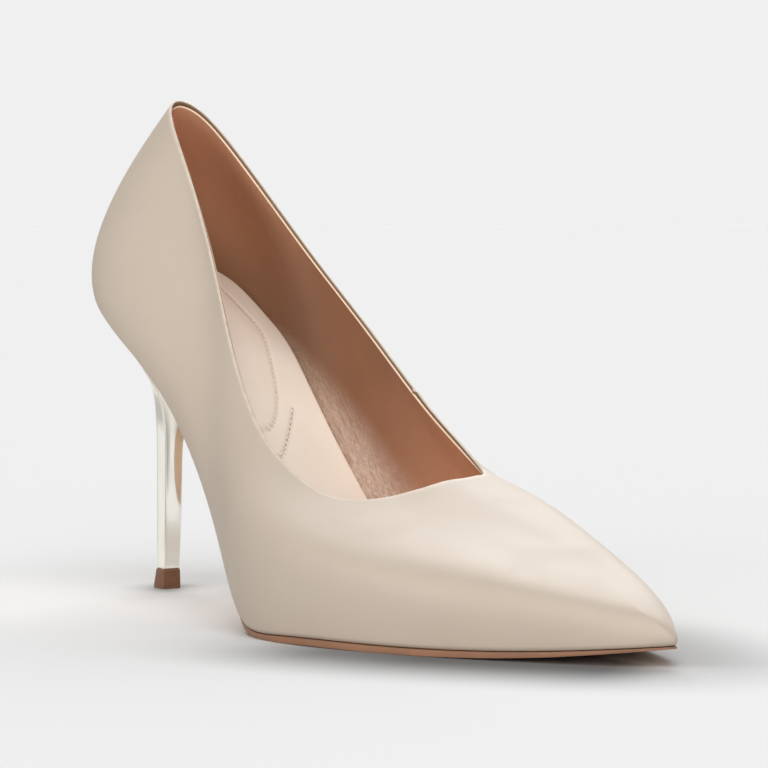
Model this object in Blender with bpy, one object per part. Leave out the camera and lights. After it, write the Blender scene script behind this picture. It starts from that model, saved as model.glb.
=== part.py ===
import math
from collections import namedtuple

import bmesh
import bpy
import numpy as np

for item in list(bpy.data.objects):
    bpy.data.objects.remove(item, do_unlink=True)

# Driving sizes, in millimetres, of a right shoe with the toe along +X and the inner side along +Y
MM = 0.001
WALL = 1.7  # upper with its lining, at the bottom edge
TOPLINE_WALL = 1.3  # upper with its lining, at the topline
GAP = 0.3  # clearance between neighbouring pieces
INSOLE_THICKNESS = 2.4
INSOLE_TOE = 228.0  # past here the tip of the insole is blunted
INSOLE_BLUNT = 0.35  # share of the tip that is kept
SOLE_END = 47.3  # where the outsole stops in front of the heel
SOLE_END_STEP = 2.0  # shortest edge next to that end
TOP_PIECE_HEIGHT = 5.6
COLUMNS_PER_ROW = 4  # mesh columns for each row of the section table
RIB_POINTS = 14  # mesh points up each rib of the upper
HEEL_RINGS = 30
HEEL_COLUMNS = 29
MERGE = 0.01  # points closer than this are one
SHARP_ANGLE = 35.0  # degrees

Section = namedtuple(
    "Section",
    "name x centre half top_x top_centre top_half top_z dip flare rise drop reach inner_drop inner_reach",
)
Profile = namedtuple("Profile", "name x z")
Sole = namedtuple("Sole", "name x edge thickness")
Heel = namedtuple("Heel", "name back_x back_z front_x front_z half roundness")
Block = namedtuple("Block", "name z back_x front_x half roundness")

# Sections of the last from the toe tip to the back of the heel: where each rib leaves the bottom edge
# (x, centre, half), where it ends on the topline, how far the outer side of the topline lies below the
# inner side (dip), the slope and length of the rib's lower pull (flare, rise), and those of its upper
# pull on the outer side (drop, reach) and on the inner side, where the wall of the throat is steeper
SECTIONS = [
    Section("toe_tip", 237.0, 15.5, 0.0, 149.8, 4.4, 0.0, 37.8, 0.0, 6.7, 11.7, 24.0, 41.8, 24.0, 41.8),
    Section("toe_side", 233.6, 14.8, 4.2, 148.5, 4.8, 6.7, 37.6, 2.6, 7.8, 12.6, 21.8, 41.4, 22.0, 43.0),
    Section("toe_corner", 225.7, 13.7, 10.1, 146.5, 5.2, 12.6, 37.1, 3.9, 8.9, 14.4, 19.7, 40.8, 20.0, 40.0),
    Section("toe_box", 207.8, 10.5, 19.4, 142.7, 6.0, 19.2, 37.0, 4.4, 11.3, 15.9, 18.4, 37.8, 17.0, 29.5),
    Section("forepart", 182.4, 5.7, 29.8, 136.2, 6.0, 25.1, 38.4, 3.6, 13.0, 17.9, 20.0, 30.8, 24.0, 21.5),
    Section("ball", 153.2, 0.9, 37.0, 124.4, 4.2, 27.0, 45.7, 4.1, 13.9, 19.9, 28.5, 23.0, 60.0, 20.0),
    Section("ball_back", 128.4, -2.1, 35.0, 109.2, 3.6, 26.1, 56.6, 4.0, 13.4, 18.2, 51.0, 20.0, 65.0, 18.0),
    Section("waist", 100.0, -1.8, 27.0, 92.0, 2.9, 22.0, 74.0, 4.2, 13.9, 15.9, 68.3, 16.3, 73.0, 15.5),
    Section("shank", 70.0, -2.2, 25.0, 74.8, 2.4, 16.2, 92.6, 4.4, 15.2, 14.3, 78.0, 12.8, 78.0, 12.8),
    Section("seat", 40.0, 0.0, 28.0, 54.9, 1.8, 10.4, 114.6, 4.2, 18.6, 15.2, 86.0, 7.4, 86.0, 7.4),
    Section("heel_side", 21.0, 0.0, 19.7, 38.3, 0.0, 5.5, 132.9, 3.4, 22.5, 20.2, 100.0, 0.6, 100.0, 0.6),
    Section("heel_back", 13.2, 0.0, 0.0, 29.8, 0.0, 0.0, 138.7, 0.0, 30.7, 24.0, 110.0, 0.2, 110.0, 0.2),
]

# Height of the bottom edge of the upper along the shoe: seat, arch, tread and toe spring
PROFILE = [
    Profile("heel_back", 10.4, 93.2),
    Profile("seat", 26.0, 84.9),
    Profile("breast", 46.8, 73.0),
    Profile("shank", 67.6, 59.2),
    Profile("waist", 88.4, 37.7),
    Profile("waist_low", 109.2, 13.9),
    Profile("ball_back", 126.9, 3.3),
    Profile("tread", 145.6, 2.3),
    Profile("forepart", 171.6, 2.3),
    Profile("toe_box", 208.0, 3.0),
    Profile("toe_tip", 237.0, 5.7),
]

# Outsole along the shoe: how far its edge stands out past the upper, and its thickness
SOLE = [
    Sole("breast", 47.0, -3.0, 1.4),
    Sole("shank", 72.0, -2.6, 1.5),
    Sole("waist", 104.0, -1.6, 1.8),
    Sole("ball_back", 127.0, -0.1, 2.0),
    Sole("tread", 146.0, 0.4, 2.0),
    Sole("toe_box", 208.0, 0.5, 2.0),
    Sole("toe_tip", 240.0, 0.5, 2.0),
]

# Heel from its base to the seat: a flat breast face in front and a back that turns from square to round
HEEL = [
    Heel("base", 22.7, 5.9, 27.3, 5.9, 2.6, 7.0),
    Heel("column", 22.9, 27.0, 28.5, 26.0, 2.75, 7.0),
    Heel("neck", 22.8, 43.0, 28.8, 39.0, 2.9, 6.0),
    Heel("hollow", 22.2, 54.0, 29.8, 46.5, 3.7, 4.6),
    Heel("flare", 20.9, 65.0, 31.8, 54.5, 6.6, 3.5),
    Heel("cup", 18.4, 76.0, 35.0, 61.0, 12.0, 2.8),
    Heel("rim", 15.2, 86.5, 40.6, 68.0, 20.0, 2.5),
    Heel("seat", 13.7, 91.2, 47.0, 72.4, 26.6, 2.4),
]

TOP_PIECE = [
    Block("ground", 0.0, 20.9, 27.4, 2.87, 9.0),
    Block("top", TOP_PIECE_HEIGHT, 22.5, 27.4, 2.7, 9.0),
]


def natural_spline(xs, ys, at):
    xs, ys, at = np.asarray(xs, float), np.asarray(ys, float), np.asarray(at, float)
    count = len(xs)
    step = np.diff(xs)
    matrix = np.eye(count)
    right = np.zeros(count)
    for i in range(1, count - 1):
        matrix[i, i - 1:i + 2] = step[i - 1], 2 * (step[i - 1] + step[i]), step[i]
        right[i] = 6 * ((ys[i + 1] - ys[i]) / step[i] - (ys[i] - ys[i - 1]) / step[i - 1])
    bend = np.linalg.solve(matrix, right)
    i = np.clip(np.searchsorted(xs, at) - 1, 0, count - 2)
    low, high = at - xs[i], xs[i + 1] - at
    cubic = (bend[i] * high ** 3 + bend[i + 1] * low ** 3) / (6 * step[i])
    start = (ys[i] / step[i] - bend[i] * step[i] / 6) * high
    end = (ys[i + 1] / step[i] - bend[i + 1] * step[i] / 6) * low
    return cubic + start + end


def loop_spline(rows, per_row):
    values = np.asarray(rows, float)
    count = len(values)
    matrix = np.zeros((count, count))
    for i in range(count):
        matrix[i, i - 1] = 1
        matrix[i, i] = 4
        matrix[i, (i + 1) % count] = 1
    bend = np.linalg.solve(matrix, 6 * (np.roll(values, 1, 0) - 2 * values + np.roll(values, -1, 0)))
    points = []
    for i in range(count):
        j = (i + 1) % count
        for k in range(per_row):
            t = k / per_row
            s = 1 - t
            cubic = (bend[i] * s ** 3 + bend[j] * t ** 3) / 6
            points.append(cubic + (values[i] - bend[i] / 6) * s + (values[j] - bend[j] / 6) * t)
    return np.array(points)


def bottom(x):
    return natural_spline([row.x for row in PROFILE], [row.z for row in PROFILE], x)


def sole_column(name, x):
    return np.interp(x, [row.x for row in SOLE], [getattr(row, name) for row in SOLE])


def outward(loop):
    along = np.roll(loop, -1, 0) - np.roll(loop, 1, 0)
    normal = np.column_stack([-along[:, 1], along[:, 0]])
    return normal / np.linalg.norm(normal, axis=1, keepdims=True)


def control_rows():
    rows = []
    outer_side = [(row, -1) for row in SECTIONS[:-1]]
    inner_side = [(row, 1) for row in SECTIONS[-1:0:-1]]
    for row, side in outer_side + inner_side:
        drop, reach = (row.drop, row.reach) if side < 0 else (row.inner_drop, row.inner_reach)
        rows.append([row.x, row.centre + side * row.half, row.top_x, row.top_centre + side * row.top_half,
                     row.top_z + side * row.dip / 2, row.flare, row.rise, drop, reach])
    return loop_spline(rows, COLUMNS_PER_ROW)


def upper_grid(table):
    edge = np.column_stack([table[:, 0], table[:, 1], bottom(table[:, 0])])
    topline = table[:, 2:5]
    flare, drop = np.radians(table[:, 5])[:, None], np.radians(table[:, 7])[:, None]
    rise, reach = table[:, 6][:, None], table[:, 8][:, None]
    lower = edge + rise * np.hstack([outward(edge) * np.sin(flare), np.cos(flare)])
    upper = topline + reach * np.hstack([outward(topline) * np.cos(drop), -np.sin(drop)])
    t = np.linspace(0, 1, RIB_POINTS)[None, :, None]
    grid = (1 - t) ** 3 * edge[:, None] + 3 * (1 - t) ** 2 * t * lower[:, None]
    return grid + 3 * (1 - t) * t ** 2 * upper[:, None] + t ** 3 * topline[:, None]


def inset_edge(edge, distance):
    moved = edge[:, :2] - outward(edge) * np.reshape(distance, (-1, 1))
    return np.column_stack([moved, bottom(moved[:, 0])])


def inner_grid(grid):
    around = np.roll(grid, -1, 0) - np.roll(grid, 1, 0)
    up = np.gradient(grid, axis=1)
    normal = np.cross(up, around)
    normal /= np.linalg.norm(normal, axis=2, keepdims=True)
    wall = np.linspace(WALL, TOPLINE_WALL, grid.shape[1])[None, :, None]
    inner = grid - normal * wall
    inner[:, 0] = inset_edge(grid[:, 0], WALL)
    return inner


def shell_faces(columns, rows):
    def outer(i, k):
        return (i % columns) * rows + k

    def inner(i, k):
        return columns * rows + outer(i, k)

    faces = []
    for i in range(columns):
        for k in range(rows - 1):
            faces.append((outer(i, k), outer(i + 1, k), outer(i + 1, k + 1), outer(i, k + 1)))
            faces.append((inner(i, k), inner(i, k + 1), inner(i + 1, k + 1), inner(i + 1, k)))
        faces.append((outer(i, rows - 1), outer(i + 1, rows - 1), inner(i + 1, rows - 1), inner(i, rows - 1)))
        faces.append((outer(i, 0), inner(i, 0), inner(i + 1, 0), outer(i + 1, 0)))
    return faces


def ring_faces(rings, columns, pointed):
    faces = []
    for k in range(rings - 1):
        for i in range(columns):
            j = (i + 1) % columns
            faces.append((k * columns + i, k * columns + j, (k + 1) * columns + j, (k + 1) * columns + i))
    for first in (0, (rings - 1) * columns):
        for i in range(columns // 2):
            across = columns - i if pointed else columns - 1 - i
            strip = (first + i, first + i + 1, first + across - 1, first + across % columns)
            faces.append(tuple(dict.fromkeys(strip)))
    return faces


def plate(loop, low, high):
    verts = [(x, y, low(x)) for x, y in loop] + [(x, y, high(x)) for x, y in loop]
    return np.array(verts), ring_faces(2, len(loop), True)


def half_round(back_x, front_x, half, roundness):
    points = []
    for angle in np.linspace(math.pi / 2, -math.pi / 2, HEEL_COLUMNS):
        along = abs(math.cos(angle)) ** (2 / roundness)
        across = math.copysign(abs(math.sin(angle)) ** (2 / roundness), -math.sin(angle))
        points.append((front_x + (back_x - front_x) * along, half * across))
    return np.array(points)


def upper_mesh(grid):
    verts = np.concatenate([grid.reshape(-1, 3), inner_grid(grid).reshape(-1, 3)])
    return verts, shell_faces(grid.shape[0], grid.shape[1])


def insole_mesh(edge):
    inside = inset_edge(edge, WALL + GAP)[:, :2]
    inside = np.delete(inside, (1, -1), axis=0)
    past = np.maximum(inside[:, 0] - INSOLE_TOE, 0.0)
    inside[:, 0] -= past * (1 - INSOLE_BLUNT)
    return plate(inside, bottom, lambda x: bottom(x) + INSOLE_THICKNESS)


def outsole_mesh(edge):
    outside = inset_edge(edge, -sole_column("edge", edge[:, 0]))[:, :2]
    count = len(edge)
    clear = SOLE_END + SOLE_END_STEP
    last = max(i for i in range(count // 2) if min(outside[i, 0], outside[-i, 0]) > clear)
    loop = list(outside[:last + 1])
    for pair in ((last + 1, last), (-last - 1, -last)):
        xs, ys = outside[list(pair)].T
        loop.append([SOLE_END, np.interp(SOLE_END, xs, ys)])
    loop += list(outside[-last:])

    def top(x):
        return bottom(x) - GAP

    def under(x):
        return np.maximum(top(x) - sole_column("thickness", x), 0.0)

    return plate(loop, under, top)


def heel_mesh():
    place = np.arange(len(HEEL))
    at = np.linspace(0, len(HEEL) - 1, HEEL_RINGS)
    columns = {name: natural_spline(place, [getattr(row, name) for row in HEEL], at)
               for name in Heel._fields[1:]}
    verts = []
    for k in range(HEEL_RINGS):
        row = Heel("", *(columns[name][k] for name in Heel._fields[1:]))
        for x, y in half_round(row.back_x, row.front_x, row.half, row.roundness):
            share = (x - row.back_x) / (row.front_x - row.back_x)
            z = row.back_z + (row.front_z - row.back_z) * share
            if k == HEEL_RINGS - 1:
                z = bottom(x) - GAP
            verts.append((x, y, z))
    return np.array(verts), ring_faces(HEEL_RINGS, HEEL_COLUMNS, False)


def top_piece_mesh():
    verts = []
    for row in TOP_PIECE:
        for x, y in half_round(row.back_x, row.front_x, row.half, row.roundness):
            verts.append((x, y, row.z))
    return np.array(verts), ring_faces(len(TOP_PIECE), HEEL_COLUMNS, False)


def make_material(name, color, roughness, metallic=0.0):
    material = bpy.data.materials.new(name)
    material.use_nodes = True
    shader = material.node_tree.nodes["Principled BSDF"]
    shader.inputs["Base Color"].default_value = (*color, 1.0)
    shader.inputs["Roughness"].default_value = roughness
    shader.inputs["Metallic"].default_value = metallic
    return material


def make_object(name, verts, faces, material):
    mesh = bpy.data.meshes.new(name)
    mesh.from_pydata([tuple(v) for v in verts * MM], [], faces)
    solid = bmesh.new()
    solid.from_mesh(mesh)
    bmesh.ops.remove_doubles(solid, verts=solid.verts, dist=MERGE * MM)
    bmesh.ops.recalc_face_normals(solid, faces=solid.faces)
    solid.to_mesh(mesh)
    solid.free()
    mesh.materials.append(material)
    mesh.shade_smooth()
    mesh.set_sharp_from_angle(angle=math.radians(SHARP_ANGLE))
    item = bpy.data.objects.new(name, mesh)
    bpy.context.scene.collection.objects.link(item)


upper_ribs = upper_grid(control_rows())
bottom_edge = upper_ribs[:, 0]
pieces = {
    "upper": upper_mesh(upper_ribs),
    "insole": insole_mesh(bottom_edge),
    "outsole": outsole_mesh(bottom_edge),
    "heel": heel_mesh(),
    "top_piece": top_piece_mesh(),
}
looks = {
    "upper": make_material("upper_leather", (0.62, 0.48, 0.38), 0.45),
    "insole": make_material("insole_leather", (0.60, 0.40, 0.31), 0.6),
    "outsole": make_material("outsole_tan", (0.30, 0.14, 0.07), 0.5),
    "heel": make_material("heel_plate", (0.86, 0.80, 0.66), 0.08, 1.0),
    "top_piece": make_material("top_piece_brown", (0.09, 0.04, 0.025), 0.5),
}
everything = np.concatenate([verts for verts, faces in pieces.values()])
low, high = everything.min(axis=0), everything.max(axis=0)
centre = np.array([(low[0] + high[0]) / 2, (low[1] + high[1]) / 2, 0.0])
for piece_name, (piece_verts, piece_faces) in pieces.items():
    make_object(piece_name, piece_verts - centre, piece_faces, looks[piece_name])
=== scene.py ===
import math

import bpy
import numpy as np
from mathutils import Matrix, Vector


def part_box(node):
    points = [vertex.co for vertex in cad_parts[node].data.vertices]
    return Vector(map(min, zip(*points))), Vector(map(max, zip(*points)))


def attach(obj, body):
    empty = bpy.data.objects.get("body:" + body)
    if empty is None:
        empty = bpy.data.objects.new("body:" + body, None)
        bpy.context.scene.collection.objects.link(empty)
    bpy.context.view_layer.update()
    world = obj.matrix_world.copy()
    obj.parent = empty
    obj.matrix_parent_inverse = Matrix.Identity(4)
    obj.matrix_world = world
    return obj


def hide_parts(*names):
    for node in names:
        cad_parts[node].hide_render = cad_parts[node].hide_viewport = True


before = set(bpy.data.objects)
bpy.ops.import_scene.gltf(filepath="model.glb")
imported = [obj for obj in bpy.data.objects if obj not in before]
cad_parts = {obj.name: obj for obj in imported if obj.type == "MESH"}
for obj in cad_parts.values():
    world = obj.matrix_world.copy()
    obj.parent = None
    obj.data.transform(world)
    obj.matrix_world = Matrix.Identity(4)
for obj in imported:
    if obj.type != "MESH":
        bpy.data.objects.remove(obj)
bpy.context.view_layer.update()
mm = 0.001

# the shoe's own sizes in millimetres: toe along +x, inner side of the foot along +y
last = {
    # bottom edge: x, centre, half width; topline: x, centre, half width, height, fall to the outer side;
    # handles of the ribs, in degrees and mm: flare and rise, drop and reach outside, drop and reach inside
    "sections": [
        (237.0, 15.5, 0.0, 149.8, 4.4, 0.0, 37.8, 0.0, 6.7, 11.7, 24.0, 41.8, 24.0, 41.8),  # toe tip
        (233.6, 14.8, 4.2, 148.5, 4.8, 6.7, 37.6, 2.6, 7.8, 12.6, 21.8, 41.4, 22.0, 43.0),
        (225.7, 13.7, 10.1, 146.5, 5.2, 12.6, 37.1, 3.9, 8.9, 14.4, 19.7, 40.8, 20.0, 40.0),
        (207.8, 10.5, 19.4, 142.7, 6.0, 19.2, 37.0, 4.4, 11.3, 15.9, 18.4, 37.8, 17.0, 29.5),  # toe box
        (182.4, 5.7, 29.8, 136.2, 6.0, 25.1, 38.4, 3.6, 13.0, 17.9, 20.0, 30.8, 24.0, 21.5),
        (153.2, 0.9, 37.0, 124.4, 4.2, 27.0, 45.7, 4.1, 13.9, 19.9, 28.5, 23.0, 60.0, 20.0),  # ball
        (128.4, -2.1, 35.0, 109.2, 3.6, 26.1, 56.6, 4.0, 13.4, 18.2, 51.0, 20.0, 65.0, 18.0),
        (100.0, -1.8, 27.0, 92.0, 2.9, 22.0, 74.0, 4.2, 13.9, 15.9, 68.3, 16.3, 73.0, 15.5),  # waist
        (70.0, -2.2, 25.0, 74.8, 2.4, 16.2, 92.6, 4.4, 15.2, 14.3, 78.0, 12.8, 78.0, 12.8),
        (40.0, 0.0, 28.0, 54.9, 1.8, 10.4, 114.6, 4.2, 18.6, 15.2, 86.0, 7.4, 86.0, 7.4),  # seat
        (21.0, 0.0, 19.7, 38.3, 0.0, 5.5, 132.9, 3.4, 22.5, 20.2, 100.0, 0.6, 100.0, 0.6),
        (13.2, 0.0, 0.0, 29.8, 0.0, 0.0, 138.7, 0.0, 30.7, 24.0, 110.0, 0.2, 110.0, 0.2),  # back of the heel
    ],
    "profile": [  # x, height of the bottom edge of the upper
        (10.4, 93.2), (26.0, 84.9), (46.8, 73.0), (67.6, 59.2), (88.4, 37.7), (109.2, 13.9),
        (126.9, 3.3), (145.6, 2.3), (171.6, 2.3), (208.0, 3.0), (237.0, 5.7),
    ],
    "rowStep": 0.25,  # how far apart, in rows, the plan direction of an edge is read
    "gap": 0.3,
}


def naturalSpline(xs, ys, at):
    xs, ys, at = np.asarray(xs, float), np.asarray(ys, float), np.asarray(at, float)
    count = len(xs)
    step = np.diff(xs)
    matrix = np.eye(count)
    right = np.zeros(count)
    for i in range(1, count - 1):
        matrix[i, i - 1:i + 2] = step[i - 1], 2 * (step[i - 1] + step[i]), step[i]
        right[i] = 6 * ((ys[i + 1] - ys[i]) / step[i] - (ys[i] - ys[i - 1]) / step[i - 1])
    bend = np.linalg.solve(matrix, right)
    i = np.clip(np.searchsorted(xs, at) - 1, 0, count - 2)
    low, high = at - xs[i], xs[i + 1] - at
    cubic = (bend[i] * high ** 3 + bend[i + 1] * low ** 3) / (6 * step[i])
    start = (ys[i] / step[i] - bend[i] * step[i] / 6) * high
    return cubic + start + (ys[i + 1] / step[i] - bend[i + 1] * step[i] / 6) * low


def closedSpline(rows, at):
    rows = np.asarray(rows, float)
    count = len(rows)
    matrix = np.zeros((count, count))
    for i in range(count):
        matrix[i, i - 1] = 1
        matrix[i, i] = 4
        matrix[i, (i + 1) % count] = 1
    bend = np.linalg.solve(matrix, 6 * (np.roll(rows, 1, 0) - 2 * rows + np.roll(rows, -1, 0)))
    at = np.mod(np.asarray(at, float), count)
    i = np.floor(at).astype(int) % count
    j = (i + 1) % count
    t = (at - np.floor(at))[:, None]
    s = 1 - t
    curve = (bend[i] * s ** 3 + bend[j] * t ** 3) / 6
    return curve + (rows[i] - bend[i] / 6) * s + (rows[j] - bend[j] / 6) * t


def bottomHeight(x):
    return naturalSpline([p[0] for p in last["profile"]], [p[1] for p in last["profile"]], x)


def smoothStep(low, high, value):
    t = np.clip((value - low) / (high - low), 0, 1)
    return t * t * (3 - 2 * t)


def unit(vectors):
    return vectors / np.maximum(np.linalg.norm(vectors, axis=-1, keepdims=True), 1e-9)


def lastRows():
    rows = []
    sections = last["sections"]
    for section, side in [(s, -1) for s in sections[:-1]] + [(s, 1) for s in sections[:0:-1]]:
        x, centre, half, topX, topCentre, topHalf, topZ, dip, flare, rise = section[:10]
        drop, reach = section[10:12] if side < 0 else section[12:]
        rows.append([x, centre + side * half, topX, topCentre + side * topHalf, topZ + side * dip / 2,
                     flare, rise, drop, reach])
    return rows


rowCount = len(lastRows())
heelRow = rowCount // 2


def edgeLoop(at):  # bottom edge of the upper and its outward direction in plan
    rows = lastRows()
    table = closedSpline(rows, at)
    along = closedSpline(rows, at + last["rowStep"]) - closedSpline(rows, at - last["rowStep"])
    edge = np.column_stack([table[:, 0], table[:, 1], bottomHeight(table[:, 0])])
    return edge, unit(np.column_stack([-along[:, 1], along[:, 0]]))


def ribCurves(at, points=241):  # the ribs of the last, bottom edge to topline
    rows = lastRows()
    table = closedSpline(rows, at)
    along = closedSpline(rows, at + last["rowStep"]) - closedSpline(rows, at - last["rowStep"])
    edge, edgeOut = edgeLoop(at)
    topline = table[:, 2:5]
    topOut = unit(np.column_stack([-along[:, 3], along[:, 2]]))
    flare, drop = np.radians(table[:, 5])[:, None], np.radians(table[:, 7])[:, None]
    lower = edge + table[:, 6:7] * np.hstack([edgeOut * np.sin(flare), np.cos(flare)])
    upper = topline + table[:, 8:9] * np.hstack([topOut * np.cos(drop), -np.sin(drop)])
    t = np.linspace(0, 1, points)[None, :, None]
    ribs = (1 - t) ** 3 * edge[:, None] + 3 * (1 - t) ** 2 * t * lower[:, None]
    return ribs + 3 * (1 - t) * t ** 2 * upper[:, None] + t ** 3 * topline[:, None]


def ribLengths(ribs):
    steps = np.linalg.norm(np.diff(ribs, axis=1), axis=2)
    return np.hstack([np.zeros((len(ribs), 1)), np.cumsum(steps, axis=1)])


def alongRibs(ribs, distances):  # points at the given distances up each rib
    lengths = ribLengths(ribs)
    grid = np.empty((len(ribs), distances.shape[1], 3))
    for i in range(len(ribs)):
        for axis in range(3):
            grid[i, :, axis] = np.interp(distances[i], lengths[i], ribs[i, :, axis])
    return grid


def gridNormals(grid):
    around = np.roll(grid, -1, 0) - np.roll(grid, 1, 0)
    return unit(np.cross(np.gradient(grid, axis=1), around))


def pathDistance(points, path):  # distance to a polyline, and the share of its length where it is nearest
    best = np.full(len(points), 1e9)
    where = np.zeros(len(points))
    for k, (a, b) in enumerate(zip(path[:-1], path[1:])):
        ab = b - a
        t = np.clip((points - a) @ ab / (ab @ ab), 0, 1)
        away = np.linalg.norm(points - a - t[:, None] * ab, axis=1)
        where = np.where(away < best, (k + t) / (len(path) - 1), where)
        best = np.minimum(best, away)
    return best, where


def surfacePath(rows, shares):  # a line drawn on the last from rows and shares of the height
    ribs = ribCurves(np.asarray(rows, float))
    reach = ribLengths(ribs)[:, -1] * np.asarray(shares, float)
    return alongRibs(ribs, reach[:, None])[:, 0]


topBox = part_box("top_piece")
heelBack = 20.9  # back of the heel's brown block at the ground, in the shoe's own sizes
originX = heelBack - topBox[0][0] / mm
originY = -(topBox[0][1] + topBox[1][1]) / 2 / mm


def columnRows(piece):  # rows of the last, closer together over the piece's fine stretch
    low, high = piece["fineRows"]
    rough = np.arange(0, rowCount, piece["rowStep"])
    rough = rough[(rough < low) | (rough >= high)]
    return np.sort(np.concatenate([rough, np.arange(low, high, piece["fineStep"])]))


def gridFaces(columns, rows, closed, flip):
    i = np.arange(columns if closed else columns - 1)[:, None]
    k = np.arange(rows - 1)[None, :]
    near, beside = i * rows + k, (i + 1) % columns * rows + k
    faces = np.stack([near, near + 1, beside + 1, beside], -1).reshape(-1, 4)
    return faces[:, ::-1] if flip else faces


def ringFaces(count, ring, start=0):  # quads between stacked closed rings, with a cap at each end
    k = np.arange(count - 1)[:, None] * ring + start
    i = np.arange(ring)[None, :]
    j = (i + 1) % ring
    sides = np.stack([k + i, k + ring + i, k + ring + j, k + j], -1).reshape(-1, 4)
    low, high = start + np.arange(ring), start + (count - 1) * ring + np.arange(ring)
    return [tuple(f) for f in sides.tolist()] + [tuple(low.tolist()), tuple(high[::-1].tolist())]


def addMarks(mesh, marks):
    for name, values in marks.items():
        layer = mesh.attributes.new(name, "FLOAT", "POINT")
        layer.data.foreach_set("value", np.asarray(values, np.float32).ravel())


def makePiece(name, points, faces, material, replaced=None, marks=None):
    mesh = bpy.data.meshes.new(name)
    placed = (np.asarray(points, float).reshape(-1, 3) - np.array([originX, originY, 0.0])) * mm
    mesh.from_pydata(placed.tolist(), [], [tuple(int(v) for v in f) for f in faces])
    addMarks(mesh, marks or {})
    mesh.materials.append(material)
    mesh.validate()
    mesh.shade_smooth()
    piece = bpy.data.objects.new(name, mesh)
    bpy.context.scene.collection.objects.link(piece)
    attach(piece, "root")
    if replaced:
        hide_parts(replaced)
    print("made", name, len(mesh.polygons), "faces")
    return piece


# shader helpers and shared groups
def node(tree, kind, **settings):
    made = tree.nodes.new(kind)
    for name, value in settings.items():
        setattr(made, name, value)
    return made


def setInput(made, **values):
    for name, value in values.items():
        made.inputs[name].default_value = value
    return made


def feed(tree, socket, value):  # a number, a colour or another node's output
    if isinstance(value, (int, float)):
        socket.default_value = value
    elif isinstance(value, tuple):
        socket.default_value = (*value, 1.0)
    else:
        tree.links.new(value, socket)


def math2(tree, operation, a, b=None, clamp=False):
    made = node(tree, "ShaderNodeMath", operation=operation, use_clamp=clamp)
    for socket, value in zip(made.inputs, (a, b)):
        if value is not None:
            feed(tree, socket, value)
    return made.outputs[0]


def addScaled(tree, total, value, amount):
    return math2(tree, "ADD", total, math2(tree, "MULTIPLY", value, amount))


def mixColor(tree, factor, a, b):
    made = node(tree, "ShaderNodeMix", data_type="RGBA")
    for socket, value in ((made.inputs["Factor"], factor), (made.inputs[6], a), (made.inputs[7], b)):
        feed(tree, socket, value)
    return made.outputs[2]


def mapRange(tree, value, low, high, toLow=0.0, toHigh=1.0):
    made = node(tree, "ShaderNodeMapRange", interpolation_type="SMOOTHSTEP")
    limits = {"From Min": low, "From Max": high, "To Min": toLow, "To Max": toHigh}
    tree.links.new(value, made.inputs["Value"])
    return setInput(made, **limits).outputs["Result"]


def markOf(tree, name):
    return node(tree, "ShaderNodeAttribute", attribute_name=name).outputs["Fac"]


def startGroup(name, inputs, outputs):
    group = bpy.data.node_groups.new(name, "ShaderNodeTree")
    for socketName, value in inputs.items():
        socket = group.interface.new_socket(name=socketName, in_out="INPUT", socket_type="NodeSocketFloat")
        socket.default_value = value
    for socketName in outputs:
        group.interface.new_socket(name=socketName, in_out="OUTPUT", socket_type="NodeSocketFloat")
    return group, node(group, "NodeGroupInput"), node(group, "NodeGroupOutput")


def scaleTextures(group, given, pairs):  # object coordinates, and a named input as each texture's scale
    coords = node(group, "ShaderNodeTexCoord").outputs["Object"]
    for texture, name in pairs:
        group.links.new(coords, texture.inputs["Vector"])
        group.links.new(given.outputs[name], texture.inputs["Scale"])


def leatherGrainGroup():  # pores, fine creases and slow drifts of tone
    group, given, result = startGroup(
        "leatherGrain", {"Pores": 2600.0, "Creases": 900.0, "Drift": 22.0}, ("Height", "Tone", "Pore"))
    pores = node(group, "ShaderNodeTexVoronoi", feature="F1")
    creases = node(group, "ShaderNodeTexVoronoi", feature="DISTANCE_TO_EDGE")
    drift = setInput(node(group, "ShaderNodeTexNoise"), Detail=4.0, Roughness=0.55)
    fine = setInput(node(group, "ShaderNodeTexNoise"), Detail=3.0, Roughness=0.6)
    scaleTextures(group, given, ((pores, "Pores"), (creases, "Creases"), (drift, "Drift"), (fine, "Creases")))
    pore = mapRange(group, pores.outputs["Distance"], 0.0, 0.45)
    crease = mapRange(group, creases.outputs["Distance"], 0.0, 0.12)
    height = 0.0
    for relief, share in ((pore, 0.45), (crease, 0.3), (fine.outputs["Fac"], 0.35)):
        height = addScaled(group, height, relief, share)
    for name, value in (("Height", height), ("Tone", drift.outputs["Fac"]), ("Pore", pore)):
        group.links.new(value, result.inputs[name])
    return group


def edgeRubGroup():  # broken, worn look along a marked edge; on the upper's fold it also carries a painted highlight
    group, given, result = startGroup("edgeRub", {"Edge": 0.0, "Breakup": 700.0, "Amount": 0.6}, ("Mask",))
    noise = setInput(node(group, "ShaderNodeTexNoise"), Detail=5.0, Roughness=0.65)
    scaleTextures(group, given, ((noise, "Breakup"),))
    broken = mapRange(group, noise.outputs["Fac"], 0.35, 0.65, 0.45, 1.0)
    mask = math2(group, "MULTIPLY", given.outputs["Edge"], broken)
    group.links.new(math2(group, "MULTIPLY", mask, given.outputs["Amount"], True), result.inputs["Mask"])
    return group


def handlingGroup():  # faint smudges and fine dust that change the gloss
    group, given, result = startGroup("handling", {"Smudge": 60.0, "Dust": 5200.0}, ("Smudge", "Dust"))
    smudge = setInput(node(group, "ShaderNodeTexNoise"), Detail=6.0, Roughness=0.6, Distortion=0.6)
    dust = node(group, "ShaderNodeTexVoronoi", feature="F1")
    scaleTextures(group, given, ((smudge, "Smudge"), (dust, "Dust")))
    group.links.new(mapRange(group, smudge.outputs["Fac"], 0.38, 0.7), result.inputs["Smudge"])
    group.links.new(mapRange(group, dust.outputs["Distance"], 0.16, 0.08), result.inputs["Dust"])
    return group


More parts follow.
